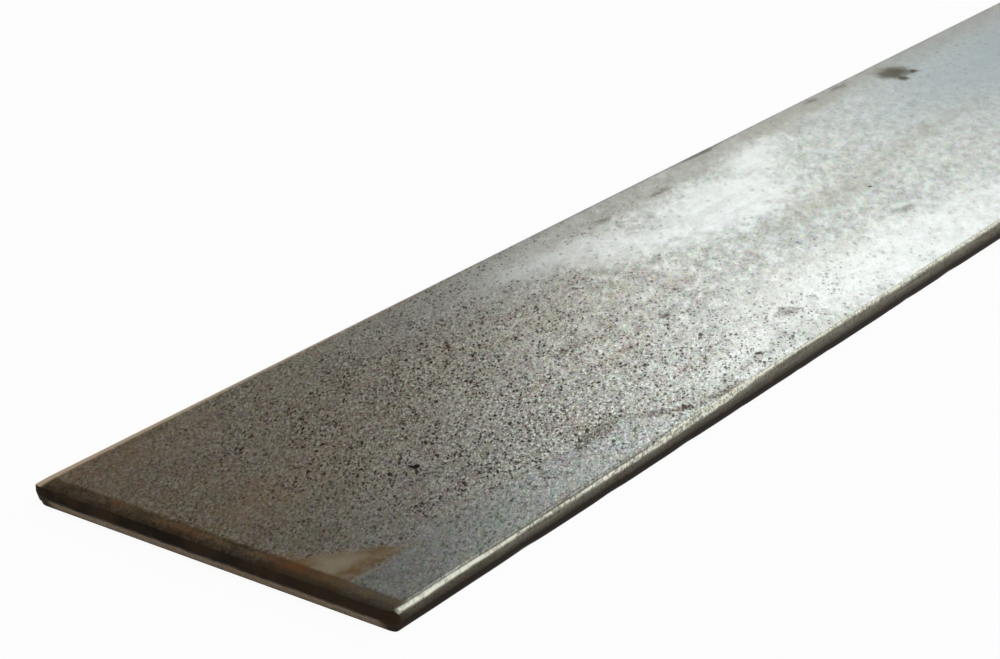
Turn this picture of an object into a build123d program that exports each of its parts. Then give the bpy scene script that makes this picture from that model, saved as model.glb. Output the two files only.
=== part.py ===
from build123d import *
import os

# Hot-rolled steel flat bar: one length of stock, lying on a wide face.
# The origin is under the middle of the bar. X runs along the bar, Y across it and Z up
# through it. All sizes are in millimetres.

# The bar as it leaves the rolls. The grooved finishing roll rounds the two long edges.
bar_length = 1000.0
bar_width = 50.0
bar_thickness = 3.0
rolled_edge_radius = 0.6

# The ends as the shear leaves them, from the face where the blade came in to the far face:
# the face dragged down in a long low curve, a band that was cut square and burnished by the
# blade, and the torn rest of the thickness, which leans back under the bar.
rollover_length = 2.4
rollover_depth = 0.25
fracture_share = 0.5
fracture_setback = 0.9

# The blade also drags the corners of the cut end round, seen from above.
corner_drag_radius = 1.1

# How far the waste beyond each cut is drawn past the faces of the bar
waste_margin = 2.0

# The tear starts part of the way through the thickness and runs out of the far face
fracture_height = fracture_share * bar_thickness
fracture_slope = fracture_setback / fracture_height

# The waste off one end in side view. The cut leaves its burnished band on x = 0, with the bar
# on the +x side and its lower face on z = 0.
with BuildLine() as waste:
    torn = Line((fracture_setback + fracture_slope * waste_margin, -waste_margin), (0, fracture_height))
    burnished = Line(torn @ 1, (0, bar_thickness - rollover_depth))
    rollover = TangentArc((rollover_length, bar_thickness), burnished @ 1, tangent=(-1, 0))
    Polyline(
        rollover @ 0,
        (rollover_length, bar_thickness + waste_margin),
        (-waste_margin, bar_thickness + waste_margin),
        (-waste_margin, -waste_margin),
        torn @ 0,
    )

with BuildPart() as flat_bar:
    # The rolled section, standing on z = 0
    with BuildSketch(Plane.YZ):
        RectangleRounded(bar_width, bar_thickness, rolled_edge_radius, align=(Align.CENTER, Align.MIN))
    extrude(amount=bar_length / 2, both=True)

    # Both ends come off the same shear. The blade enters the top face at the -X end. The +X
    # end was on the other side of its own cut, so its waste is the same turned half a turn.
    with BuildSketch(Plane.XZ):
        with BuildLine():
            with Locations((-bar_length / 2, 0)):
                add(waste.line)
        make_face()
        with BuildLine():
            with Locations((bar_length / 2, bar_thickness)):
                add(waste.line, rotation=180)
        make_face()
    extrude(amount=bar_width, both=True, mode=Mode.SUBTRACT)

    # The four dragged corners, cut through the whole thickness
    with BuildSketch(Plane.XY):
        RectangleRounded(bar_length, bar_width, corner_drag_radius)
    extrude(amount=2 * bar_thickness, both=True, mode=Mode.INTERSECT)

flat_bar.part.label = "flat_bar"

os.makedirs("parts", exist_ok=True)
export_step(flat_bar.part, "parts/flat_bar.step")
print("flat_bar volume in cubic centimetres:", round(flat_bar.part.volume / 1000, 2))
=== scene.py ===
# %% [markdown]
# # A sheared length of hot-rolled flat bar
#
# The object is one bar of steel, 1 metre long, 50 mm wide and 3 mm thick, lying on a wide
# face. It has three sorts of surface: the wide faces and edges as they left the rolls, with
# their thin skin of mill scale, the strip that the shear pulled down at each end, and the cut
# ends themselves.
#
# The lesson goes in the order a maker works in. First the camera and the steel's shape, then
# the finishes, then the floor and the lights. Lengths are written in millimetres, because
# that is how steel is sold, and are turned into Blender's metres where they are used.

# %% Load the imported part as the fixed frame
import math

import bpy
import numpy as np
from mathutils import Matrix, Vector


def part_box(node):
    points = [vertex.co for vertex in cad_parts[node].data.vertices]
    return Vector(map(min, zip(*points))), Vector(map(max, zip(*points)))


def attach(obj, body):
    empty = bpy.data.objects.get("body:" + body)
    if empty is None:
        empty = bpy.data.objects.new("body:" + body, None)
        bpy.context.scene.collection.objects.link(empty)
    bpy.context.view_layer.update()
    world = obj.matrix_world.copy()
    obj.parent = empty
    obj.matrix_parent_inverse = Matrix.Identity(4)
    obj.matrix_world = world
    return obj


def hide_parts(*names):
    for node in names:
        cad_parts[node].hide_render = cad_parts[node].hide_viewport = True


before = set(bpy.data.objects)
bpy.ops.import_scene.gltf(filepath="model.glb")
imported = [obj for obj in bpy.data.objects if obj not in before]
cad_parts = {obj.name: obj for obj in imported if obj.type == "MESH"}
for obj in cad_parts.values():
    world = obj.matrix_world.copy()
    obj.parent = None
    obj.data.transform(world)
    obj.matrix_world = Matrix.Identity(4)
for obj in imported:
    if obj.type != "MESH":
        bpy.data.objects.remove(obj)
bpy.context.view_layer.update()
MM = 0.001
low, high = (np.array(corner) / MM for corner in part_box("flat_bar"))
bar_length, bar_width, bar_thickness = high - low
half_width, middle_z = bar_width / 2, bar_thickness / 2
print("bar in millimetres:", bar_length.round(2), bar_width.round(2), bar_thickness.round(2))


# %% [markdown]
# ## Camera
#
# A bar this long is drawn by its vanishing lines. The near end is close, so its two long
# edges run together fast towards the far end. A camera could be aimed by hand until the edges
# look right, but it is surer to write down where it stands and which way it looks: a step to
# one side of the near end, a hand's length above the floor, looking along and down the bar.

# %% Camera beside the near end
camera_place = np.array([-678.74, -166.46, 128.31])
camera_heading = math.radians(35.69)
camera_dip = math.radians(22.675)
view_width_in_pixels = 1000
focal_in_pixels = 2613.0

camera = bpy.data.objects.new("camera", bpy.data.cameras.new("camera"))
bpy.context.collection.objects.link(camera)
camera.location = camera_place * MM
camera.rotation_euler = (math.pi / 2 - camera_dip, 0, camera_heading - math.pi / 2)
camera.data.sensor_fit = "HORIZONTAL"
camera.data.sensor_width = 36
camera.data.lens = camera.data.sensor_width * focal_in_pixels / view_width_in_pixels
camera.data.clip_start = 0.01
bpy.context.scene.camera = camera
bpy.context.scene.view_settings.view_transform = "Standard"
print("lens in millimetres:", round(camera.data.lens, 2))


# %% [markdown]
# ## The rolled section
#
# The bar's section is what the grooves of the last pair of rolls left: two flat wide faces
# and two edges. The left upper corner is an even quarter circle. The right one turns quickly,
# then eases down the side in a slow curve, which is why light runs along it in a broad line.
#
# A Bevel modifier on a box would give plain round corners. Here the corner is drawn by its
# own normal instead: as the normal turns from straight up to straight out, the radius grows
# from a tight one to a slack one, and adding up those small arcs gives the curve.

# %% Upper and lower corners of the section
tight_radius, slack_radius = 0.42, 1.55
turn_to_slack, turn_spent_easing = math.radians(58), math.radians(20)
even_radius = 0.95
lower_radius = 0.6


def corner_curve(radii, turns):
    """Runs along a corner as its normal turns from up to out: each small turn moves the
    point by radius times turn, along the tangent. Gives how far out and down it has gone."""
    middle = (turns[1:] + turns[:-1]) / 2
    step = radii(middle) * np.diff(turns)
    out = np.concatenate([[0], np.cumsum(step * np.cos(middle))])
    down = np.concatenate([[0], np.cumsum(step * np.sin(middle))])
    return out, down


def quick_then_slack(turn):
    """The tight radius, easing into the slack one once the normal passes turn_to_slack."""
    ease = np.clip((turn - turn_to_slack) / turn_spent_easing + 0.5, 0, 1)
    return tight_radius + (slack_radius - tight_radius) * ease ** 2


quarter = np.linspace(0, math.pi / 2, 16)
right_out, right_down = corner_curve(quick_then_slack, quarter)
left_out, left_down = corner_curve(lambda turn: even_radius + 0 * turn, quarter)
lower_out, lower_down = corner_curve(lambda turn: lower_radius + 0 * turn, quarter[::2])
print("right corner, out and down in mm:", right_out[-1].round(3), right_down[-1].round(3))


# %% [markdown]
# The section is one closed loop of points. Its wide faces carry the same stations across the
# bar, top and bottom, so that later each cut end can be closed by joining a top point to the
# bottom point under it.

# %% The closed section loop
right_flat, left_flat = half_width - right_out[-1], half_width - left_out[-1]
lower_flat = half_width - lower_out[-1]
border = 0.06
inner_stations = np.linspace(-right_flat + border, left_flat - border, 104)
across = np.concatenate([[-right_flat], inner_stations, [left_flat]])
stations = across.size


def side_of_section(flat, out, down):
    """One side from the top face to the bottom one, as distance from the middle and height."""
    distance = np.concatenate([flat + out[1:], lower_flat + lower_out[::-1][:-1]])
    height = np.concatenate([bar_thickness - down[1:], lower_down[::-1][:-1]])
    return distance, height


right_y, right_z = side_of_section(right_flat, right_out, right_down)
left_y, left_z = side_of_section(left_flat, left_out, left_down)
lower_y = np.linspace(-lower_flat, lower_flat, stations)
section_y = np.concatenate([across[::-1], -right_y, lower_y, left_y[::-1]])
section_z = np.concatenate([
    np.full(stations, bar_thickness), right_z, np.zeros(stations), left_z[::-1]])
around = section_y.size
print("points around the section:", around)


# %% [markdown]
# ## What the shear does to an end
#
# A shear doesn't cut all the way through. The blade first drags the face down in a shallow
# slope, then shaves a straight band, and then the rest of the thickness tears off at a slant.
# It also pulls the corners of the end round. Cutting such an end with booleans would give it
# knife-sharp, perfect borders. It is described here as a height instead: how far each point
# of the end lies in from the foremost plane, for every place across and up the section.

# %% Seeded unevenness
def ripples(seed, longest, shortest, *places, waves=24):
    """A smooth uneven field, about -1 to 1: the sum of plane waves with seeded directions,
    phases and lengths between shortest and longest, the short ones weaker."""
    dice = np.random.default_rng(seed)
    lengths = np.geomspace(longest, shortest, waves)
    total = np.zeros(np.broadcast(*places).shape)
    for length in lengths:
        direction = dice.normal(size=len(places))
        direction /= np.linalg.norm(direction)
        travel = sum(part * place for part, place in zip(direction, places))
        total = total + np.sqrt(length) * np.cos(2 * math.pi * (travel / length + dice.random()))
    return total / np.sqrt(lengths.sum() / 2)


# %% The end's height, and the strip dragged down above it
rollover_length, rollover_depth = 2.4, 0.25
fracture_height, fracture_setback = 1.5, 0.9
corner_drag = 1.1
bend_width = 0.22
lip_drop, lip_length = 0.1, 0.18
tear_wander, tear_roughness = 0.05, 0.04
rough_within, calm_below = 0.3, 0.5


def end_height(y, z, seed):
    """Distance in from the foremost plane, in mm. Below the wandering top of the tear it
    grows in step with depth and is rough. Near each corner it follows a quarter circle."""
    tear_top = fracture_height + tear_wander * ripples(seed, 14, 2.4, y)
    depth = np.clip(tear_top - z, 0, None)
    slant = fracture_setback * depth / tear_top
    fades_in = np.clip(depth / rough_within, 0, 1) * np.clip(z / calm_below, 0.05, 1)
    rough = tear_roughness * ripples(seed + 1, 1.6, 0.35, y, z) * fades_in
    beyond = np.clip((np.abs(y) - (half_width - corner_drag)) / corner_drag, 0, 1)
    corner = corner_drag * (1 - np.sqrt(1 - beyond ** 2))
    return np.clip(slant + rough, 0, None) + corner


def dragged_down(x):
    """How far the top face is pulled down at x mm in from the cut. A straight slope up to
    rollover_length, where a short soft bend (a softplus curve) meets the level face, and a
    last steeper drop at the lip."""
    bend = bend_width * np.log1p(np.exp((rollover_length - x) / bend_width))
    share = np.clip(bend / rollover_length, 0, 1.02)
    return (rollover_depth - lip_drop) * share + lip_drop * np.exp(-x / lip_length)


print("drag at the cut, 1 mm in and 3 mm in:", dragged_down(np.array([0.0, 1.0, 3.0])).round(3))


# %% [markdown]
# ## One skin for the whole bar
#
# The bar is one grid of points: around the section one way, and along the bar the other. The
# rows are close together at the ends, where the cut's shape is, and wide apart in the middle.
# Past each end the same loop shrinks towards the line through the middle of the section, and
# so closes the end with no seam. The blade entered the top face at the near end and the lower
# face at the far end, so the far end is worked out by turning the near one over.

# %% Rows along the bar
end_zone, fine_length, fine_step = 6.0, 240.0, 1.5
end_rows = end_zone * np.linspace(0, 1, 27) ** 1.7
fine_rows = np.arange(end_zone + fine_step, fine_length, fine_step)
coarse_rows = np.linspace(fine_length, bar_length - end_zone, 104)
rows_along = np.concatenate([fine_rows, coarse_rows[:-1]])
cap_shrink = np.linspace(0, 1, 18)[1:-1]
cap_shrink = 0.5 * cap_shrink + 0.5 * cap_shrink ** 2
print("rows in an end, in the middle and in a cap:",
      end_rows.size, rows_along.size, cap_shrink.size)


# %% The line that each cut end closes on
first = int(np.searchsorted(across, -(half_width - middle_z)))
last = stations - 1 - first
side_points = right_y.size
station_of = np.concatenate([
    np.arange(stations)[::-1], np.zeros(side_points, int),
    np.arange(stations), np.full(side_points, stations - 1),
])
middle_of = np.clip(station_of, first, last) - first
middle_y = across[first:last + 1]
print("points on the closing line:", middle_y.size)


# %% Points of one end
def make_end(seed, loop_y, loop_z):
    """Rows of (x in from the cut, y, z) for one end whose blade entered at the top: first the
    cap's rings from the inside out, then the rows of skin up to end_zone."""
    inward = end_height(loop_y, loop_z, seed)
    x = inward + end_rows[:, None] * (end_zone - inward) / end_zone
    sink = np.clip(loop_z / bar_thickness, 0, 1) ** 3
    z = loop_z - dragged_down(x) * sink
    y = np.broadcast_to(loop_y, x.shape)
    skin = np.stack([x, y, z], axis=-1)
    ring_y = loop_y + cap_shrink[::-1, None] * (middle_y[middle_of] - loop_y)
    ring_z = z[0] + cap_shrink[::-1, None] * (middle_z - z[0])
    rings = np.stack([end_height(ring_y, ring_z, seed), ring_y, ring_z], axis=-1)
    core_z = np.full(middle_y.size, middle_z)
    core = np.stack([end_height(middle_y, core_z, seed), middle_y, core_z], axis=-1)
    return core, np.concatenate([rings, skin])


near_core, near_rows = make_end(11, section_y, section_z)
far_core, far_rows = make_end(37, section_y, bar_thickness - section_z)
near_face = near_rows[:cap_shrink.size + 1, :, 0]
print("near end, foremost and rearmost point in mm:",
      near_face.min().round(3), near_face.max().round(3))


# %% [markdown]
# Handling leaves the long edges slightly uneven: a faint wander from the rolls, and small
# dents where bars have knocked together. Both only ever take metal away, so they pull points
# inwards, strongest at the corners of the section and not at all on the wide faces.

# %% Wear of the long edges
edge_wander, most_wear, wear_reach = 0.016, 0.14, 0.5
dents_on_an_edge, dents_from_end = 46, 8
dent_depth, dent_length = (0.02, 0.1), (0.8, 2.4)


def edge_wear(x, y, z):
    """How far a point near a long edge is pulled in, in mm: a wander along x, plus a bell
    shaped dent at each seeded place, each on its own edge."""
    nearness = np.clip((np.abs(y) - right_flat) / wear_reach, 0, 1)
    left, upper = y > 0, z > middle_z
    line = np.linspace(0, bar_length, 4001)
    wander, dents = np.zeros(x.shape), np.zeros(x.shape)
    for edge, on_edge in enumerate([left & upper, left & ~upper, ~left & upper, ~left & ~upper]):
        dice = np.random.default_rng(70 + edge)
        wander = np.where(on_edge, edge_wander * (1 + ripples(80 + edge, 60, 5, x)), wander)
        places = dice.uniform(dents_from_end, bar_length - dents_from_end, dents_on_an_edge)
        depths = dice.uniform(*dent_depth, dents_on_an_edge)
        lengths = dice.uniform(*dent_length, dents_on_an_edge)
        bells = (depths * np.exp(-((line[:, None] - places) / lengths) ** 2)).sum(axis=1)
        dents = np.where(on_edge, np.interp(x, line, bells), dents)
    return nearness * np.clip(wander + dents, 0, most_wear)


# %% All the rows in the bar's own frame
middle_shape = (rows_along.size, around)
middle_rows = np.stack([
    np.broadcast_to(rows_along[:, None], middle_shape),
    np.broadcast_to(section_y, middle_shape),
    np.broadcast_to(section_z, middle_shape),
], axis=-1)


def turned_over(points):
    """Half a turn about the bar's middle, end for end."""
    return points * [-1, 1, -1] + [bar_length, 0, bar_thickness]


rows = np.concatenate([near_rows, middle_rows, turned_over(far_rows)[::-1]])
cores = np.stack([near_core, turned_over(far_core)])
points = np.concatenate([rows.reshape(-1, 3), cores.reshape(-1, 3)])
wear = edge_wear(*points.T)
points[:, 1] -= np.sign(points[:, 1]) * wear
points[:, 2] -= np.sign(points[:, 2] - middle_z) * wear * 0.5
points = np.clip(points + [low[0], 0, low[2]], low, high)
print("rows:", len(rows), " points:", len(points))


# %% Faces between the rows, and the closing of both ends
row_count, core_count = len(rows), len(middle_y)
here = np.arange(row_count * around).reshape(row_count, around)
ahead = np.roll(here, -1, axis=1)
skin_faces = np.stack([here[:-1], ahead[:-1], ahead[1:], here[1:]], axis=-1).reshape(-1, 4)

near_inner = row_count * around + middle_of
far_inner = near_inner + core_count
near_close = np.stack([near_inner, np.roll(near_inner, -1), ahead[0], here[0]], axis=-1)
far_close = np.stack([here[-1], ahead[-1], np.roll(far_inner, -1), far_inner], axis=-1)

cap_row_count = cap_shrink.size
face_row = np.repeat(np.arange(row_count - 1), around)
skin_is_cut = (face_row < cap_row_count) | (face_row >= row_count - 1 - cap_row_count)
faces = np.concatenate([skin_faces, near_close, far_close])
is_cut = np.concatenate([skin_is_cut, np.ones(len(near_close) + len(far_close), bool)])
print("cut faces:", int(is_cut.sum()), " all faces:", len(faces))


# %% [markdown]
# The faces go into the mesh as they are, and the two finishes are told apart by each face's
# material number: 0 for what the rolls made and 1 for what the shear cut. Shading is smooth
# but for real corners, sharper than 38 degrees, such as the border of the cut.

# %% Put the grid into a mesh
sharp_from = math.radians(38)


def mesh_from_grid(name, points, faces, finish):
    """A mesh object of points in mm and faces of four corners, each with the number of its
    finish. Where a face names a corner twice, the second is moved to the end of its row and
    left off, which makes a triangle."""
    twice = faces == np.roll(faces, 1, axis=1)
    corners = np.take_along_axis(faces, np.argsort(twice, axis=1, kind="stable"), axis=1)
    three_sided = twice.any(axis=1)
    squares, triangles = corners[~three_sided], corners[three_sided, :3]
    in_order = np.concatenate([finish[~three_sided], finish[three_sided]])
    mesh = bpy.data.meshes.new(name)
    mesh.from_pydata(points * MM, [], squares.tolist() + triangles.tolist())
    mesh.update()
    mesh.polygons.foreach_set("material_index", in_order)
    piece = bpy.data.objects.new(name, mesh)
    bpy.context.collection.objects.link(piece)
    return piece


bar = mesh_from_grid("rolled_bar", points, faces, is_cut.astype(np.int32))
bar.data.shade_smooth()
bar.data.set_sharp_from_angle(angle=sharp_from)
print("triangles in the bar:", len(bar.data.loops) - 2 * len(bar.data.polygons))

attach(bar, "root")
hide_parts("flat_bar")


# %% [markdown]
# ## Wiring materials by name
#
# A procedural material is a small sum worked out for every point of the surface. Written out
# node by node it is hard to follow, so a few helpers keep it readable: one adds any node, and
# the others do arithmetic, ramps, mixes and noise. Each hands back the socket with the result.

# %% Helper for any node
def wire_into(new_tree):
    """From here on, the helpers add their nodes to this tree."""
    global tree
    tree = new_tree


def add_node(kind, sockets, **settings):
    """Adds a node with its properties set. Each socket gets its value, or a link when the
    value is another node's socket."""
    node = tree.nodes.new("ShaderNode" + kind)
    for key, value in settings.items():
        setattr(node, key, value)
    for key, value in sockets.items():
        if isinstance(value, bpy.types.NodeSocket):
            tree.links.new(value, node.inputs[key])
        else:
            node.inputs[key].default_value = value
    return node


# %% Helpers for arithmetic
def calc(operation, *values):
    """One Math node, worked on numbers or sockets."""
    return add_node("Math", dict(enumerate(values)), operation=operation).outputs[0]


def one_by_one(operation, values):
    """One Math operation carried through a row of values."""
    result = values[0]
    for value in values[1:]:
        result = calc(operation, result, value)
    return result


def times(*values):
    """The product of masks and numbers."""
    return one_by_one("MULTIPLY", values)


def plus(*values):
    """The sum of masks and numbers."""
    return one_by_one("ADD", values)


def most(*values):
    """The largest of several masks."""
    return one_by_one("MAXIMUM", values)


def left_of(amount, mask):
    """1 less amount times mask."""
    return calc("SUBTRACT", 1.0, times(mask, amount))


def vector_calc(operation, *values):
    """One Vector Math node, worked on vectors."""
    return add_node("VectorMath", dict(enumerate(values)), operation=operation).outputs[0]


def scaled(vector, factor):
    """A vector times a number, which goes into the node's fourth socket."""
    return add_node("VectorMath", {0: vector, 3: factor}, operation="SCALE").outputs[0]


def split(vector):
    """The three parts of a vector."""
    return add_node("SeparateXYZ", {0: vector}).outputs


# %% Helpers for ramps, mixes, noise and colours
def ramp(value, start, stop, low_end=0.0, high_end=1.0):
    """Rises smoothly from low_end to high_end as value goes from start to stop."""
    sockets = {0: value, 1: start, 2: stop, 3: low_end, 4: high_end}
    return add_node("MapRange", sockets, interpolation_type="SMOOTHSTEP").outputs[0]


def mix(share, first, second):
    """Between two colours, by share."""
    sockets = {0: share, 6: first, 7: second}
    return add_node("Mix", sockets, data_type="RGBA").outputs[2]


def between(share, first, second):
    """Between two numbers, by share."""
    sockets = {0: share, 2: first, 3: second}
    return add_node("Mix", sockets, data_type="FLOAT").outputs[0]


def noise(where, scale, detail, roughness=0.5):
    """Noise, as a number in the first output and as three of them in the second."""
    return add_node("TexNoise", {
        "Vector": where, "Scale": scale, "Detail": detail, "Roughness": roughness}).outputs


def paint(red, green, blue):
    """A colour given as a screen shows it, 0 to 255, in the linear values that nodes use."""
    shown = np.array([red, green, blue]) / 255
    linear = np.where(shown <= 0.04045, shown / 12.92, ((shown + 0.055) / 1.055) ** 2.4)
    return (*linear.tolist(), 1.0)


def lay(colour, share, amount, *shade):
    """A shade laid over a colour, by amount times share."""
    share = share if amount == 1 else times(share, amount)
    return mix(share, colour, paint(*shade))


# %% Helpers for shader groups
def start_group(name, inputs):
    """A shader group with named inputs, numbers unless the value given is a vector, and one
    number, Amount, as its output."""
    wire_into(bpy.data.node_groups.new(name, "ShaderNodeTree"))
    for label, value in inputs.items():
        kind = "NodeSocketVector" if isinstance(value, tuple) else "NodeSocketFloat"
        socket = tree.interface.new_socket(label, in_out="INPUT", socket_type=kind)
        socket.default_value = value
    tree.interface.new_socket("Amount", in_out="OUTPUT", socket_type="NodeSocketFloat")
    return tree.nodes.new("NodeGroupInput").outputs, tree.nodes.new("NodeGroupOutput").inputs


def use_group(group, sockets):
    """Places a group in the open tree and hands back its result."""
    return add_node("Group", sockets, node_tree=group).outputs[0]


# %% [markdown]
# ## Effects that the finishes share
#
# Mill scale is a skin of oxide, rolled in while the steel was red hot. It has craters where
# it flaked and was rolled over, streaks drawn out along the bar, cloudy changes of tone, and
# stains where water stood. Each is a shader group: it answers how much of the effect there is
# at a place, and the material decides what that does to its colour and gloss. All of them
# work in millimetres from the near end, so every size in them can be checked with a ruler.

# %% Group: craters in the scale
def make_craters():
    """One crater at most in each cell of a Voronoi pattern. A cell's first random number keeps
    or drops it, and its second sets the crater's radius. Push, an uneven vector, keeps the
    craters from being true ellipses. Core is the share of the radius that is full depth."""
    given, result = start_group("scale craters", {
        "Place": (0.0, 0.0, 0.0), "Push": (0.0, 0.0, 0.0),
        "Spacing": 1.0, "Radius": 0.2, "Fill": 0.5, "Core": 0.5})
    moved = vector_calc("ADD", given["Place"], given["Push"])
    in_cells = scaled(moved, calc("DIVIDE", 1.0, given["Spacing"]))
    cells = add_node("TexVoronoi", {"Vector": in_cells, "Scale": 1.0, "Randomness": 1.0})
    dice = add_node("SeparateColor", {0: cells.outputs["Color"]}).outputs
    keep = ramp(calc("SUBTRACT", given["Fill"], dice[0]), 0.0, 0.08)
    size_share = calc("MULTIPLY_ADD", calc("POWER", dice[1], 2.0), 0.9, 0.5)
    radius = times(calc("DIVIDE", given["Radius"], given["Spacing"]), size_share)
    share = calc("DIVIDE", cells.outputs["Distance"], radius)
    tree.links.new(times(ramp(share, 1.0, given["Core"]), keep), result[0])
    return tree


craters = make_craters()


# %% Group: uneven tone, drawn out along the bar or not
def make_tone():
    """Noise on a place squeezed by Length along the bar and by Width across it, opened out
    to 0 and 1 between two levels."""
    given, result = start_group("rolled tone", {
        "Place": (0.0, 0.0, 0.0), "Length": 20.0, "Width": 2.0, "Detail": 3.0,
        "From": 0.35, "To": 0.65})
    parts = split(given["Place"])
    squeezed = add_node("CombineXYZ", {
        0: calc("DIVIDE", parts[0], given["Length"]),
        1: calc("DIVIDE", parts[1], given["Width"]),
        2: calc("DIVIDE", parts[2], given["Width"])}).outputs[0]
    level = noise(squeezed, 1.0, given["Detail"], 0.6)[0]
    tree.links.new(ramp(level, given["From"], given["To"]), result[0])
    return tree


rolled_tone = make_tone()


# %% Group: one mark with a ragged edge
def make_mark():
    """An ellipse on the bar's face: centre Along and Across, half sizes Long and Wide, turned
    by Turn radians. Push, an uneven vector, moves its edge by Ragged mm, and Soft is the share
    of it that fades."""
    given, result = start_group("placed mark", {
        "Place": (0.0, 0.0, 0.0), "Push": (0.0, 0.0, 0.0), "Along": 0.0, "Across": 0.0,
        "Long": 5.0, "Wide": 2.0, "Turn": 0.0, "Ragged": 0.5, "Soft": 0.5})
    centre = add_node("CombineXYZ", {0: given["Along"], 1: given["Across"], 2: 0.0}).outputs[0]
    moved = vector_calc("ADD", given["Place"], scaled(given["Push"], given["Ragged"]))
    turned = add_node("VectorRotate", {
        "Vector": vector_calc("SUBTRACT", moved, centre),
        "Angle": times(given["Turn"], -1.0)}, rotation_type="Z_AXIS").outputs[0]
    parts = split(turned)
    across_share = calc("POWER", calc("DIVIDE", parts[1], given["Wide"]), 2.0)
    along_share = calc("POWER", calc("DIVIDE", parts[0], given["Long"]), 2.0)
    distance = calc("SQRT", plus(across_share, along_share))
    solid = calc("SUBTRACT", 1.0, given["Soft"])
    tree.links.new(ramp(distance, 1.0, solid), result[0])
    return tree


placed_mark = make_mark()
print("groups:", [group.name for group in bpy.data.node_groups])


# %% [markdown]
# ## The mill-scale finish
#
# Seen close to, the wide face is a blue-grey metal with a brown cast where the scale is
# thickest, which also darkens the near end as painted shade. It is peppered with dark
# craters, and cleaner in a strip along one edge and in smooth, pale patches where the skin
# came away. The edges are darker, with painted shade low on the sides, and bright metal only
# along the upper corners, where the bar has been rubbed, painted brighter to stand in for the
# highlights that the corners catch.
#
# It could be painted as one picture, but a picture blurs close to. Here each thing that can
# be pointed at on the bar is a mask worked out from the place. The masks come first, a cell
# for each, and then they are laid over one another in the order in which they got there:
# scale, flaking, craters, stains, wear.

# %% Start a material and measure the place in millimetres
def start_finish(name):
    """An empty material, opened for wiring, and the place on the bar in mm: as a vector, and
    apart as along from the near end, across and up."""
    finish = bpy.data.materials.new(name)
    finish.use_nodes = True
    wire_into(finish.node_tree)
    tree.nodes.clear()
    place = add_node("Mapping", {
        "Vector": add_node("TexCoord", {}).outputs["Object"],
        "Location": (-low[0], 0.0, 0.0),
        "Scale": (1 / MM, 1 / MM, 1 / MM)}).outputs[0]
    return finish, place, *split(place)


mill_scale, place, along, across_bar, up = start_finish("mill scale steel")
from_nearer_end = calc("MINIMUM", along, calc("SUBTRACT", bar_length, along))


# %% Uneven pushes and tones
def tone(where, length, width, start, stop, detail=3.0):
    """Uneven tone in patches of about length by width mm."""
    return use_group(rolled_tone, {
        "Place": where, "Length": length, "Width": width,
        "From": start, "To": stop, "Detail": detail})


def uneven_push(where, scale):
    """Noise as a vector, about -1 to 1 each way, that moves the edges of marks."""
    colours = noise(where, scale, 4.0, 0.62)["Color"]
    return scaled(vector_calc("SUBTRACT", colours, (0.5, 0.5, 0.5)), 4.0)


fine_push = uneven_push(place, 0.75)
slow_push = uneven_push(place, 0.16)
fine_parts, slow_parts = split(fine_push), split(slow_push)
clouds = tone(place, 34.0, 11.0, 0.36, 0.66)
long_streaks = tone(place, 46.0, 1.3, 0.34, 0.68, detail=4.0)
short_streaks = tone(place, 9.0, 0.5, 0.36, 0.66)
small_clouds = tone(place, 5.5, 2.0, 0.36, 0.66, detail=4.0)
blooms = tone(place, 11.0, 3.2, 0.5, 0.72, detail=5.0)


# %% The slanted lie of the craters and the grain
crater_slant, crater_stretch = math.radians(31.0), 1.9
slanted = add_node("Mapping", {
    "Vector": place, "Rotation": (0.0, 0.0, crater_slant),
    "Scale": (crater_stretch, 1.0, 1.0)}, vector_type="TEXTURE").outputs[0]


def mark(at, size, turn=0.0, ragged=0.3, soft=0.5, amount=1.0, push=None):
    """A placed mark: centre and half sizes in mm, turn in degrees, and how strong it is."""
    shape = use_group(placed_mark, {
        "Place": place, "Push": push or fine_push, "Along": at[0], "Across": at[1],
        "Long": size[0], "Wide": size[1], "Turn": math.radians(turn),
        "Ragged": ragged, "Soft": soft})
    return shape if amount == 1.0 else times(shape, amount)


def cloud_edged(shape):
    """A soft mark's slope broken up by small clouds, then steepened."""
    clouds = noise(slanted, 0.7, 5.0, 0.7)[0]
    uneven = calc("MULTIPLY_ADD", calc("SUBTRACT", clouds, 0.5), 1.2, shape)
    return ramp(uneven, 0.12, 0.75)


print("nodes so far:", len(tree.nodes))

# %% Broad casts and bands
# A brown cast fading out from the near end: partly the scale's own tint, partly painted shade that
# darkens the near end.
brown_cast_and_near_shade = times(
    ramp(from_nearer_end, 125.0, 0.0), ramp(clouds, 1.0, 0.0, 0.8, 1.0),
    ramp(across_bar, -18.0, 6.0, 0.36, 1.0))
strip_border = plus(calc("MULTIPLY_ADD", along, 0.055, across_bar), times(slow_parts[1], 1.4))
edge_strip = times(ramp(strip_border, -14.2, -18.0), ramp(along, 80.0, 40.0))
band_border = calc("MULTIPLY_ADD", slow_parts[0], 1.8, across_bar)
dull_band = times(ramp(band_border, 15.5, 25.0), ramp(along, 44.0, 140.0, 0.0, 1.2))
middle_lift = times(
    ramp(along, 6.0, 24.0, 0.3, 1.0), ramp(along, 80.0, 52.0),
    ramp(across_bar, -14.0, -4.0, 0.15, 1.0))

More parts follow.
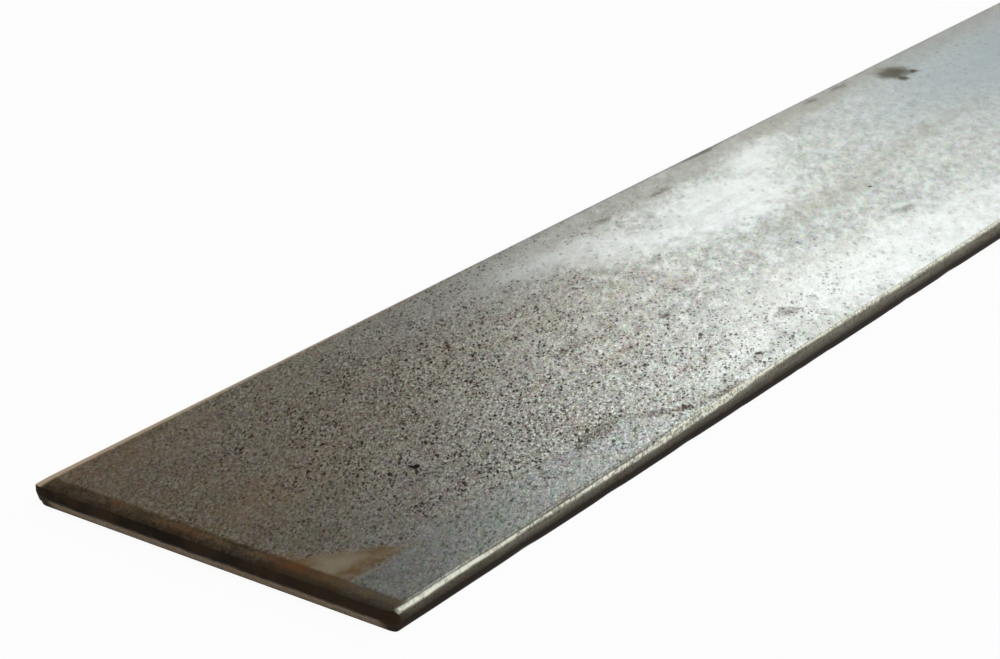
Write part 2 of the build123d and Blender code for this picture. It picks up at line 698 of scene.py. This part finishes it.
# %% Smooth patches where the skin flaked, and where it was rubbed
wide = {"ragged": 2.0, "soft": 1.0, "push": slow_push}
flaked_patches = cloud_edged(calc("MINIMUM", most(
    mark((120, 10), (30, 13.0), **wide),
    mark((96, 13), (26, 9.0), turn=-20, **wide),
    mark((140, 16.5), (20, 8.0), turn=22, amount=0.85, **wide),
    mark((83, 18.5), (17, 4.6), turn=-28, amount=0.75, **wide),
), ramp(across_bar, 24.6, 14.0)))
rubbed_strip = cloud_edged(most(
    mark((124, -20), (62, 13.0), ragged=2.6, soft=1.0, amount=0.85, push=slow_push),
    mark((76, -24.0), (30, 3.4), ragged=0.6, soft=1.0, amount=0.55),
    mark((76, -19.5), (17, 4.0), turn=6, ragged=1.2, soft=1.0, amount=0.8, push=slow_push),
))
elsewhere = times(tone(place, 60.0, 14.0, 0.5, 0.66), ramp(along, 190.0, 250.0))
pale_patches = most(flaked_patches, rubbed_strip, elsewhere)
bared = times(pale_patches, between(small_clouds, 0.62, 1.0))

# %% Painted gleams, painted shade far along the bar, and brown streaks
# Two broad soft patches painted lighter: painted sheen.
painted_gleams = most(mark((80, 20.5), (46, 8.0), **wide), mark((100, -15.5), (36, 12.0), **wide))
# A broad patch far along the bar painted darker: painted shade.
painted_far_shade = mark((213, 9), (72, 30.0), **wide)
narrow = {"ragged": 1.0, "soft": 1.0, "push": slow_push}
brown_streaks = cloud_edged(most(
    mark((134, -0.5), (40, 5.0), turn=2, amount=0.8, **wide),
    mark((165, 1.5), (42, 4.5), turn=3, amount=0.7, **wide),
    mark((118, 20.5), (50, 3.4), amount=0.8, **narrow),
    mark((160, 22.0), (34, 3.4), amount=0.9, **narrow),
    mark((48, -16.5), (24, 2.2), turn=-4, amount=0.7, **narrow),
    mark((28, 24.2), (36, 3.2), **narrow),
))
print("nodes so far:", len(tree.nodes))

# %% [markdown]
# Water stood on the near end once. It left a tan stain with a brown rim, bounded by a line
# along the bar on one side and by a slanting, slightly bent line on the other. How far a
# place lies inside both lines gives the tan, and the rim is where that is close to nothing.

# %% The stain at the near end
stain_lower = plus(across_bar, 16.9)
from_bend = calc("SUBTRACT", along, rollover_length)
slanting = calc("MULTIPLY_ADD", from_bend, -0.69, -9.7)
past_bend = calc("POWER", calc("MAXIMUM", from_bend, 0.0), 2.0)
stain_upper = calc("SUBTRACT", slanting, plus(across_bar, times(past_bend, 0.02)))
inside_stain = plus(calc("MINIMUM", stain_lower, stain_upper), times(fine_parts[0], 0.7))
tan_stain = ramp(inside_stain, -0.7, 0.9)
drawn_rim = times(
    ramp(inside_stain, -1.8, -0.4), ramp(inside_stain, 2.3, 0.6),
    ramp(stain_lower, 3.0, 1.2, 0.36, 1.0), ramp(along, 9.0, 13.0, 1.0, 0.55))
stain_rim = times(most(
    drawn_rim,
    mark((2.8, -10.4), (2.8, 4.2), ragged=0.7, soft=0.9),
    mark((8.2, -15.2), (3.0, 1.5), ragged=0.5, soft=1.0, amount=0.6),
    mark((10.2, -16.8), (2.8, 1.1), turn=-30, ragged=0.3, soft=1.0, amount=0.85),
), ramp(fine_parts[2], -0.9, 0.3, 0.5, 1.0))

# %% [markdown]
# The craters crowd at the near end and thin out along the bar, and they keep off the stain,
# the flaked patches and the clean strip. That share is worked out first, and then it fills
# four sizes of crater. They are drawn as colour and gloss: they are a tenth of a millimetre
# deep, so nobody would see their depth, while as relief each would be worked out three times.

# %% How crowded the craters are
near_pitting = times(
    ramp(from_nearer_end, 2.0, 32.0, 0.76, 1.04),
    ramp(along, 70.0, 150.0, 1.0, 0.25))
far_pitting = times(ramp(along, 230.0, 320.0), between(clouds, 0.2, 0.8))
pit_patches = tone(place, 7.5, 4.2, 0.3, 0.66, detail=5.0)
pitting = times(
    most(near_pitting, far_pitting), between(pit_patches, 0.8, 1.1),
    ramp(across_bar, 10.0, 24.0, 1.0, 0.8), left_of(0.3, edge_strip),
    left_of(0.48, flaked_patches), left_of(0.08, rubbed_strip),
    left_of(0.7, tan_stain))
mottle = noise(slanted, 0.85, 3.0, 0.62)[0]
near_share = ramp(along, 52.0, 114.0, 1.0, 0.0)
clustering = ramp(mottle, 0.62, 0.38, 0.35, 1.25)
crater_push = scaled(vector_calc("ADD", uneven_push(slanted, 2.4), fine_push), 0.15)


# %% Craters of four sizes
def crater_field(spacing, radius, core, fill):
    """Craters on the slanted lie, with spacing and radius in mm."""
    return use_group(craters, {
        "Place": slanted, "Push": crater_push,
        "Spacing": spacing, "Radius": radius, "Core": core, "Fill": fill})


clustered = times(pitting, clustering)
large_craters = crater_field(0.95, 0.25, 0.5, times(clustered, 0.08))
middle_craters = crater_field(
    0.6, between(near_share, 0.3, 0.225), between(near_share, 0.1, 0.55),
    times(clustered, 0.81))
finest_craters = crater_field(0.4, 0.19, 0.4, times(pitting, between(near_share, 0.25, 0.95)))
small_craters = times(most(finest_craters, middle_craters), between(near_share, 0.7, 1.0))
shallow_craters = crater_field(
    1.25, 0.46, 0.0,
    times(ramp(along, 60.0, 100.0, 0.0, 0.7), left_of(0.6, flaked_patches)))
print("nodes so far:", len(tree.nodes))

# %% Grain with painted glints, mottle and tints of oxide
coarse_grain = noise(slanted, 2.3, 1.5, 0.75)[0]
fine_grain = noise(slanted, 4.4, 0.0)[0]
grain = calc("MULTIPLY_ADD", fine_grain, 0.35, times(coarse_grain, 0.65))
grain_share = times(pitting, ramp(along, 38.0, 96.0, 1.0, 0.24))
grain_dark = times(ramp(grain, 0.5, 0.33), grain_share)
# Pale specks of grain: partly pale scale, partly painted glints of the lamps.
pale_grain_and_glints = times(ramp(grain, 0.5, 0.67), grain_share, ramp(from_nearer_end, 8.0, 44.0, 0.6, 1.0))
mottle_share = times(ramp(along, 15.0, 95.0, 0.15, 0.46), ramp(along, 130.0, 175.0, 1.0, 0.85))
mottle_dark = times(ramp(mottle, 0.51, 0.32), mottle_share)
mottle_pale = times(ramp(mottle, 0.49, 0.68), mottle_share, ramp(along, 95.0, 125.0, 1.0, 0.72))
tint_contrast, tint_shift = (1.9, 1.9, 1.9), (-0.45, -0.45, -0.45)
oxide_tints = vector_calc(
    "MULTIPLY_ADD", noise(slanted, 1.0, 4.0, 0.72)["Color"],
    tint_contrast, tint_shift)

# %% Rust and smudges
faint = {"soft": 1.0, "amount": 0.5}
rust_marks = most(
    mark((58.1, -22.6), (2.0, 0.8), turn=-20, soft=0.7),
    mark((46.5, -18.3), (7.5, 1.4), turn=2, ragged=0.6, soft=1.0, amount=0.7),
    mark((54.4, -20.4), (5.0, 1.2), turn=-30, ragged=0.6, **faint),
    mark((65, -24.0), (7.0, 1.0), turn=-6, soft=1.0, amount=0.75),
    mark((64.5, -1.8), (4.5, 1.0), turn=-6, ragged=0.6, soft=0.9, amount=0.5),
    mark((90.6, -17.6), (3.4, 1.5), ragged=0.8, **faint),
)
along_edge = {"ragged": 0.5, "soft": 0.9}
olive_smudges = most(
    mark((190.2, 19.8), (5.0, 3.7), ragged=0.7, soft=0.7, amount=0.92),
    mark((188.4, 17.2), (1.9, 1.5), turn=40, ragged=0.4, soft=0.8),
    mark((192.9, 17.7), (1.7, 1.6), ragged=0.4, soft=0.8),
    mark((178, 23.2), (4.5, 1.0), amount=0.5, **along_edge),
    mark((169, 23.2), (3.0, 0.9), amount=0.5, **along_edge),
    mark((137, 23.9), (8.0, 0.7), amount=0.6, **along_edge),
    mark((105, 19.8), (3.6, 1.1), ragged=1.0, soft=1.0, amount=0.45),
    mark((119.4, 19.8), (4.2, 1.0), ragged=1.0, soft=1.0, amount=0.45),
    mark((133.8, -12.0), (3.0, 1.1), ragged=0.7, soft=0.9, amount=0.4),
)

# %% A nick and single dark pits
pit = {"ragged": 0.1, "soft": 0.6, "amount": 0.8}
dark_marks = most(
    mark((27.5, -6.9), (0.8, 0.5), turn=15, ragged=0.08, soft=0.35),
    mark((27.2, -6.5), (0.36, 0.66), ragged=0.08, soft=0.4),
    mark((26.5, -7.7), (1.1, 0.25), turn=38, ragged=0.08, soft=0.5, amount=0.95),
    mark((28.0, -16.8), (0.55, 0.45), **pit),
    mark((42.0, -18.9), (0.5, 0.4), **pit),
    mark((77.2, -21.4), (0.8, 0.5), ragged=0.15, soft=0.7, amount=0.8),
    mark((78.0, -12.7), (0.5, 0.4), **pit),
    mark((80.6, -5.8), (1.7, 0.8), ragged=0.3, soft=0.9, amount=0.5),
    mark((76.9, 11.8), (0.5, 0.4), **pit),
    mark((138.9, -3.5), (0.6, 0.4), **pit),
)
print("nodes so far:", len(tree.nodes))

# %% [markdown]
# The strip that the shear pulled down kept more oil and rust than the face. It lies on top at
# the near end and underneath at the far end. The long sides are dull oxide, painted lighter
# towards the top and near black at the bottom: painted shade. Where bars rub together in a
# rack, the upper corners are bright, and they are painted brighter still as painted
# highlights: a broad, broken line on the right, whose height wanders along the bar, and a
# thin pale one on the left, partly a painted reflection of the floor.

# %% Where the shear pulled the face down
pull_edge = calc("MULTIPLY_ADD", fine_parts[1], 0.16, rollover_length)
from_far_end = calc("SUBTRACT", bar_length, along)


def pulled_at(from_end, up_start, up_stop):
    """The pulled strip of one end, on the face that lies past up_stop from up_start."""
    inside = ramp(calc("SUBTRACT", from_end, pull_edge), 0.35, -0.35)
    return times(inside, ramp(up, up_start, up_stop))


pulled_strip = most(pulled_at(along, 1.2, 1.8), pulled_at(from_far_end, 1.8, 1.2))
lip_border = calc("MULTIPLY_ADD", fine_parts[1], 0.3, from_nearer_end)
pulled_lip = times(pulled_strip, ramp(lip_border, 1.6, 0.2))

# %% The long sides with their painted shade, and their rubbed corners with painted highlights
uneven_up = calc("MULTIPLY_ADD", fine_parts[0], 0.07, up)
side = ramp(calc("ABSOLUTE", across_bar), 24.62, 24.86)
# The lower part of each side: painted shade, near black towards the floor.
shaded_lower_side = ramp(uneven_up, 1.42, 1.02)
# The bright line on the right upper corner is rubbed metal and a painted highlight: its height and
# width along the bar follow where the corner catches the light.
rub_and_highlight_drop = plus(
    ramp(along, 28.0, 40.0, 0.0, 0.25),
    plus(ramp(along, 60.0, 76.0, 0.0, -0.39), ramp(along, 80.0, 96.0, 0.0, 0.25)))
rub_and_highlight_height = plus(ramp(from_nearer_end, 0.0, 42.0, 2.2, 2.44), ramp(along, 58.0, 98.0, 0.0, 0.3))
above_rub_and_highlight = calc("SUBTRACT", plus(uneven_up, rub_and_highlight_drop), rub_and_highlight_height)
rub_and_highlight_top = plus(up, ramp(along, 8.0, 20.0, 0.0, 0.08), ramp(along, 44.0, 58.0, 0.0, -0.41))
rub_and_highlight_breaks = plus(fine_parts[2], times(grain, 2.2))
left_in_grain = between(ramp(from_nearer_end, 16.0, 26.0), 1.0, ramp(grain, 0.42, 0.56, 0.45, 1.0))
right_rub_and_highlight = times(
    ramp(above_rub_and_highlight, -0.16, 0.24), ramp(rub_and_highlight_top, 2.85, 2.7),
    ramp(across_bar, -24.38, -24.52), ramp(rub_and_highlight_breaks, 0.1, 1.3, 0.4, 1.0),
    ramp(from_nearer_end, 0.4, 1.3), left_in_grain)
# The thin pale line on the left upper corner: a little rubbed metal, and a painted reflection of
# the pale floor and wall.
left_corner = calc("MULTIPLY_ADD", from_nearer_end, -0.008, across_bar)
left_rub_and_reflection = times(
    ramp(left_corner, 23.25, 23.8), ramp(from_nearer_end, 150.0, 5.0, 0.0, 0.95),
    ramp(up, 2.1, 2.5))

# %% [markdown]
# Each line of the next cells lays one thing over all that came before it, by its mask times
# an amount. The shades are written as a screen shows them.

# %% Colour of the wide faces, layer by layer
colour = mix(clouds, paint(170, 174, 167), paint(161, 167, 163))
colour = lay(colour, brown_cast_and_near_shade, 1, 174, 140, 92)
colour = lay(colour, middle_lift, 0.24, 216, 210, 200)
colour = lay(colour, edge_strip, 0.75, 157, 165, 163)
colour = lay(colour, long_streaks, 0.16, 128, 121, 108)
colour = lay(colour, times(blooms, pitting), 0.55, 132, 98, 66)
cloud_share = ramp(along, 30.0, 110.0, 0.12, 0.28)
colour = lay(colour, times(small_clouds, cloud_share), 1, 134, 135, 120)
colour = mix(0.16, colour, oxide_tints)
# Darker within 26 mm of each end: painted shade.
colour = lay(colour, ramp(from_nearer_end, 26.0, 2.0, 0.0, 0.16), 1, 98, 88, 67)
colour = lay(colour, mottle_dark, 1, 98, 100, 89)
colour = lay(colour, mottle_pale, 1, 224, 230, 222)
# Painted sheen, and then painted shade far along the bar.
colour = lay(colour, painted_gleams, 0.6, 206, 206, 200)
colour = lay(colour, painted_far_shade, 0.92, 130, 142, 146)
colour = lay(colour, brown_streaks, 0.34, 124, 116, 88)
colour = lay(colour, dull_band, 0.6, 124, 119, 107)
colour = lay(colour, bared, 0.7, 218, 220, 217)

# %% Colour of the grain, the craters and the stains
colour = lay(colour, grain_dark, 0.88, 71, 66, 53)
colour = lay(colour, pale_grain_and_glints, 0.88, 240, 246, 236)
colour = lay(colour, shallow_craters, 0.46, 82, 78, 64)
small_share = times(small_craters, between(pitting, 0.1, 1.0))
colour = lay(colour, small_share, 1, 42, 22, 10)
large_share = times(large_craters, between(pitting, 0.15, 1.0))
colour = lay(colour, large_share, 1, 28, 13, 7)
grainy_rust = times(rust_marks, ramp(grain, 0.6, 0.4, 0.2, 1.0))
colour = lay(colour, grainy_rust, 1, 98, 74, 44)
cloudy_smudges = times(olive_smudges, between(small_clouds, 1.0, 0.75))
colour = lay(colour, cloudy_smudges, 1, 86, 79, 58)
colour = lay(colour, tan_stain, 0.74, 154, 140, 112)
cloudy_rim = times(stain_rim, between(small_clouds, 0.88, 0.66))
colour = lay(colour, cloudy_rim, 1, 101, 74, 28)
colour = lay(colour, dark_marks, 1, 14, 7, 4)

# %% Colour of the pulled strip
blots = tone(place, 1.1, 2.4, 0.34, 0.64, detail=5.0)
pulled = mix(blots, paint(104, 85, 58), paint(56, 44, 28))
pulled = lay(pulled, ramp(grain, 0.52, 0.36), 0.5, 46, 36, 24)
pulled = lay(pulled, ramp(across_bar, -12.0, -20.0, 0.0, 0.6), 1, 106, 92, 70)
rust_on_pull = most(
    mark((1.7, -11.2), (2.6, 7.0), ragged=0.8, soft=0.9),
    mark((1.0, 4.0), (1.6, 6.0), ragged=0.8, soft=0.9, amount=0.45),
    mark((1.4, 13.6), (1.3, 1.2), ragged=0.4, soft=0.9, amount=0.6),
)
pulled = lay(pulled, times(rust_on_pull, between(blots, 1.0, 0.45)), 1, 106, 62, 20)
pulled = lay(pulled, pulled_lip, 0.8, 40, 27, 15)
colour = mix(times(pulled_strip, 0.9), colour, pulled)

# %% Colour of the long sides with painted shade, and of the rubbed corners with painted highlights
# The sides are dull oxide, painted lighter towards the top and near black at the bottom: painted
# shade.
side_oxide_and_shade = mix(ramp(uneven_up, 1.25, 2.35), paint(84, 77, 66), paint(142, 139, 126))
side_oxide_and_shade = lay(side_oxide_and_shade, short_streaks, 0.45, 70, 63, 52)
side_oxide_and_shade = lay(side_oxide_and_shade, ramp(from_nearer_end, 26.0, 0.0), 0.45, 62, 50, 37)
side_oxide_and_shade = lay(side_oxide_and_shade, ramp(grain, 0.5, 0.36), 0.45, 48, 44, 34)
side_oxide_and_shade = lay(side_oxide_and_shade, ramp(from_nearer_end, 3.2, 1.0, 0.0, 0.75), 1, 46, 35, 25)
side_oxide_and_shade = lay(side_oxide_and_shade, shaded_lower_side, 1, 36, 27, 18)
colour = mix(side, colour, side_oxide_and_shade)
# Painted reflection along the left corner.
colour = lay(colour, left_rub_and_reflection, 1, 192, 172, 148)
# Painted highlight along the right corner, over its rubbed metal.
colour = lay(colour, right_rub_and_highlight, 1, 248, 250, 233)
print("nodes so far:", len(tree.nodes))

# %% [markdown]
# Sound scale and bare steel mirror like metal. Stains, craters and the dull sides don't, so
# the same masks lower Metallic and raise Roughness. Only the grain is relief: it is what
# breaks the lamp's reflection into sparkle, and it fades out where the skin is smooth.

# %% Gloss, metal and relief, and the shader
stains = most(rust_marks, olive_smudges, dark_marks, times(tan_stain, 0.6), stain_rim)
holes = times(most(large_craters, times(small_craters, 0.8)), ramp(pitting, 0.0, 0.6, 0.2, 1.0))
not_metal = most(
    times(stains, 0.6), holes, dark_marks, times(side, 0.85),
    times(pulled_strip, 0.5), times(left_rub_and_reflection, 0.9))
metal = times(left_of(1.0, times(not_metal, left_of(1.0, right_rub_and_highlight))), 0.94)
dullness = plus(times(most(stains, side), 0.18), 0.29)
relief_share = most(near_pitting, ramp(along, 230.0, 320.0, 0.0, 0.5))
relief = times(grain, relief_share, 0.028)
bump = add_node("Bump", {"Height": relief, "Distance": MM, "Strength": 0.6})
steel = add_node("BsdfPrincipled", {
    "Base Color": colour, "Metallic": metal, "Roughness": dullness,
    "Normal": bump.outputs[0], "Specular IOR Level": 0.03})
add_node("OutputMaterial", {"Surface": steel.outputs[0]})
print("nodes in the mill-scale finish:", len(tree.nodes))


# %% [markdown]
# ## The sheared finish
#
# The cut end shows two bands. The blade's straight band is smooth and scored up and down,
# and painted dark, partly for its oil and oxide and partly as painted shade. The torn part is
# coarse and pale brown. The line between them wanders, as the top of the tear does. At the
# far end the same bands lie upside down.

# %% The two bands of a cut end
sheared, place, along, across_bar, up = start_finish("sheared steel")
at_far_end = ramp(along, bar_length / 2 - 1, bar_length / 2 + 1)
from_far_face = between(at_far_end, up, calc("SUBTRACT", bar_thickness, up))
edge_noise = tone(place, 1.6, 1.6, 0.2, 0.8)
torn = ramp(
    calc("MULTIPLY_ADD", edge_noise, 0.1, from_far_face),
    fracture_height - 0.02, fracture_height - 0.53)
score_squeeze = (0.2, 5.5, 0.5)
score_lines = noise(vector_calc("MULTIPLY", place, score_squeeze), 1.0, 3.0)[0]
torn_grain = noise(place, 2.6, 4.0, 0.65)[0]
band_tone = tone(place, 3.0, 7.0, 0.35, 0.65)

# %% Colour of the two bands
# The scored band's dark colour: oil and oxide, and painted shade.
scored_colour_and_shade = mix(ramp(band_tone, 0.1, 0.9), paint(58, 46, 33), paint(34, 26, 18))
scored_colour_and_shade = lay(scored_colour_and_shade, ramp(score_lines, 0.45, 0.7), 0.4, 30, 23, 16)
to_right = ramp(across_bar, 6.0, -18.0, 0.0, 0.6)
scored_colour_and_shade = lay(scored_colour_and_shade, to_right, 1, 62, 50, 37)
torn_colour = mix(ramp(torn_grain, 0.35, 0.65), paint(160, 146, 128), paint(134, 119, 101))
torn_colour = lay(torn_colour, band_tone, 0.4, 146, 122, 100)
near_corner = most(ramp(across_bar, -22.4, -24.0), ramp(across_bar, 22.0, 23.4))
torn_colour = lay(torn_colour, near_corner, 0.92, 44, 34, 25)
end_colour = mix(torn, scored_colour_and_shade, torn_colour)

# %% Relief of the two bands, and the shader
end_relief = between(torn, times(score_lines, 0.02), times(torn_grain, 0.12))
end_bump = add_node("Bump", {"Height": end_relief, "Distance": MM, "Strength": 0.8})
end_steel = add_node("BsdfPrincipled", {
    "Base Color": end_colour, "Metallic": times(torn, 0.15),
    "Roughness": between(torn, 0.55, 0.75), "Normal": end_bump.outputs[0],
    "Specular IOR Level": 0.03})
add_node("OutputMaterial", {"Surface": end_steel.outputs[0]})

bar.data.materials.append(mill_scale)
bar.data.materials.append(sheared)
print("finishes on the bar:", [finish.name for finish in bar.data.materials])


# %% [markdown]
# ## Floor and wall
#
# The bar lies on one pale sweep: a round floor that turns up into a low wall far behind, so
# that no line shows where they meet. It is one profile turned about an upright axis. Metal
# is mostly a picture of its surroundings, so the sweep also has to look white in the steel.
# Most of its whiteness is therefore light of its own, shown only to the camera and to
# reflections. The rest is plain white paint under the lamps, which keeps the bar's shadow.

# %% A profile turned about the upright axis
floor_radius, wall_curve, wall_height = 8.0, 0.8, 1.35
under_bar = 0.00005


def turned_sweep(steps=96):
    """Points of a floor, a quarter circle and a wall, carried round the axis. The first row
    is a tiny ring, closed by one face."""
    bend = np.linspace(0, math.pi / 2, 12)
    curve_start = floor_radius - wall_curve
    radius = np.concatenate([
        [0.05, 1.0, 3.0], curve_start + wall_curve * np.sin(bend), [floor_radius]])
    height = np.concatenate([[0, 0, 0], wall_curve * (1 - np.cos(bend)), [wall_height]])
    turn = np.linspace(0, 2 * math.pi, steps, endpoint=False)
    grid = np.stack([
        radius[:, None] * np.cos(turn), radius[:, None] * np.sin(turn),
        np.broadcast_to(height[:, None], (radius.size, steps))], axis=-1)
    index = np.arange(radius.size * steps).reshape(-1, steps)
    ahead = np.roll(index, -1, axis=1)
    quads = np.stack([index[:-1], index[1:], ahead[1:], ahead[:-1]], axis=-1).reshape(-1, 4)
    return grid.reshape(-1, 3), quads.tolist() + [index[0].tolist()]


sweep_points, sweep_faces = turned_sweep()
sweep_mesh = bpy.data.meshes.new("pale_sweep")
sweep_mesh.from_pydata(sweep_points - [0, 0, under_bar], [], sweep_faces)
sweep_mesh.shade_smooth()
sweep = bpy.data.objects.new("pale_sweep", sweep_mesh)
bpy.context.collection.objects.link(sweep)
print("faces in the sweep:", len(sweep_faces))

# %% White to the eye and to the steel
white_sweep = bpy.data.materials.new("pale sweep paint")
white_sweep.use_nodes = True
wire_into(white_sweep.node_tree)
tree.nodes.clear()
own_light = 0.95
rays = add_node("LightPath", {}).outputs
shown = most(rays["Is Camera Ray"], rays["Is Glossy Ray"], rays["Is Transmission Ray"])
matt_white = add_node("BsdfDiffuse", {"Color": (0.8, 0.8, 0.8, 1.0)})
glow = add_node("Emission", {"Color": (1.0, 1.0, 1.0, 1.0), "Strength": 1.0})
both = add_node("MixShader", {
    0: times(shown, own_light), 1: matt_white.outputs[0], 2: glow.outputs[0]})
add_node("OutputMaterial", {"Surface": both.outputs[0]})
sweep_mesh.materials.append(white_sweep)


# %% [markdown]
# ## Light
#
# One broad lamp stands low behind the far end. The wide face meets the eye at a shallow
# slant, so it mirrors that lamp, most where the bar is farthest and least at the near end:
# that is most of the slow change from dark to pale along it, and painted shade at the near
# end and far along does the rest. A second lamp on the right runs a line of light along the
# rolled edge, helped by a painted highlight there, and a third from above lights everything
# plainly. The first is faintly cool and the second faintly warm. The world is an even,
# slightly warm grey.

# %% World
world = bpy.data.worlds.new("even grey")
bpy.context.scene.world = world
world.use_nodes = True
even_light = world.node_tree.nodes["Background"].inputs
even_light["Color"].default_value = (1.0, 0.97, 0.92, 1.0)
even_light["Strength"].default_value = 0.185


# %% Lamps
def soft_lamp(name, heading, height, distance, size, brightness, colour, aim=(-300, 0, 0)):
    """A rectangle of light at a heading and height, both in degrees, seen from aim in mm, and
    facing it. Brightness is that of its surface, where 1 is white."""
    lamp = bpy.data.lights.new(name, "AREA")
    lamp.shape = "RECTANGLE"
    lamp.size, lamp.size_y = size
    lamp.energy = brightness * math.pi * size[0] * size[1]
    lamp.color = colour
    piece = bpy.data.objects.new(name, lamp)
    bpy.context.collection.objects.link(piece)
    heading, height = math.radians(heading), math.radians(height)
    piece.location = np.array(aim) * MM + distance * np.array([
        math.cos(height) * math.cos(heading), math.cos(height) * math.sin(heading),
        math.sin(height)])
    piece.rotation_euler = (math.pi / 2 - height, 0, heading + math.pi / 2)
    piece.visible_camera = False
    print(name, "stands at", [round(value, 2) for value in piece.location])


soft_lamp("lamp_behind", 27, 23.3, 6.0, (1.56, 0.78), 3.9, (0.945, 0.985, 1.0))
soft_lamp("lamp_right", -24, 34, 6.0, (4.6, 3.6), 0.9, (1.0, 0.985, 0.93))
soft_lamp("lamp_above", -110, 72, 5.0, (3.0, 3.0), 4.7, (1.0, 1.0, 1.0))
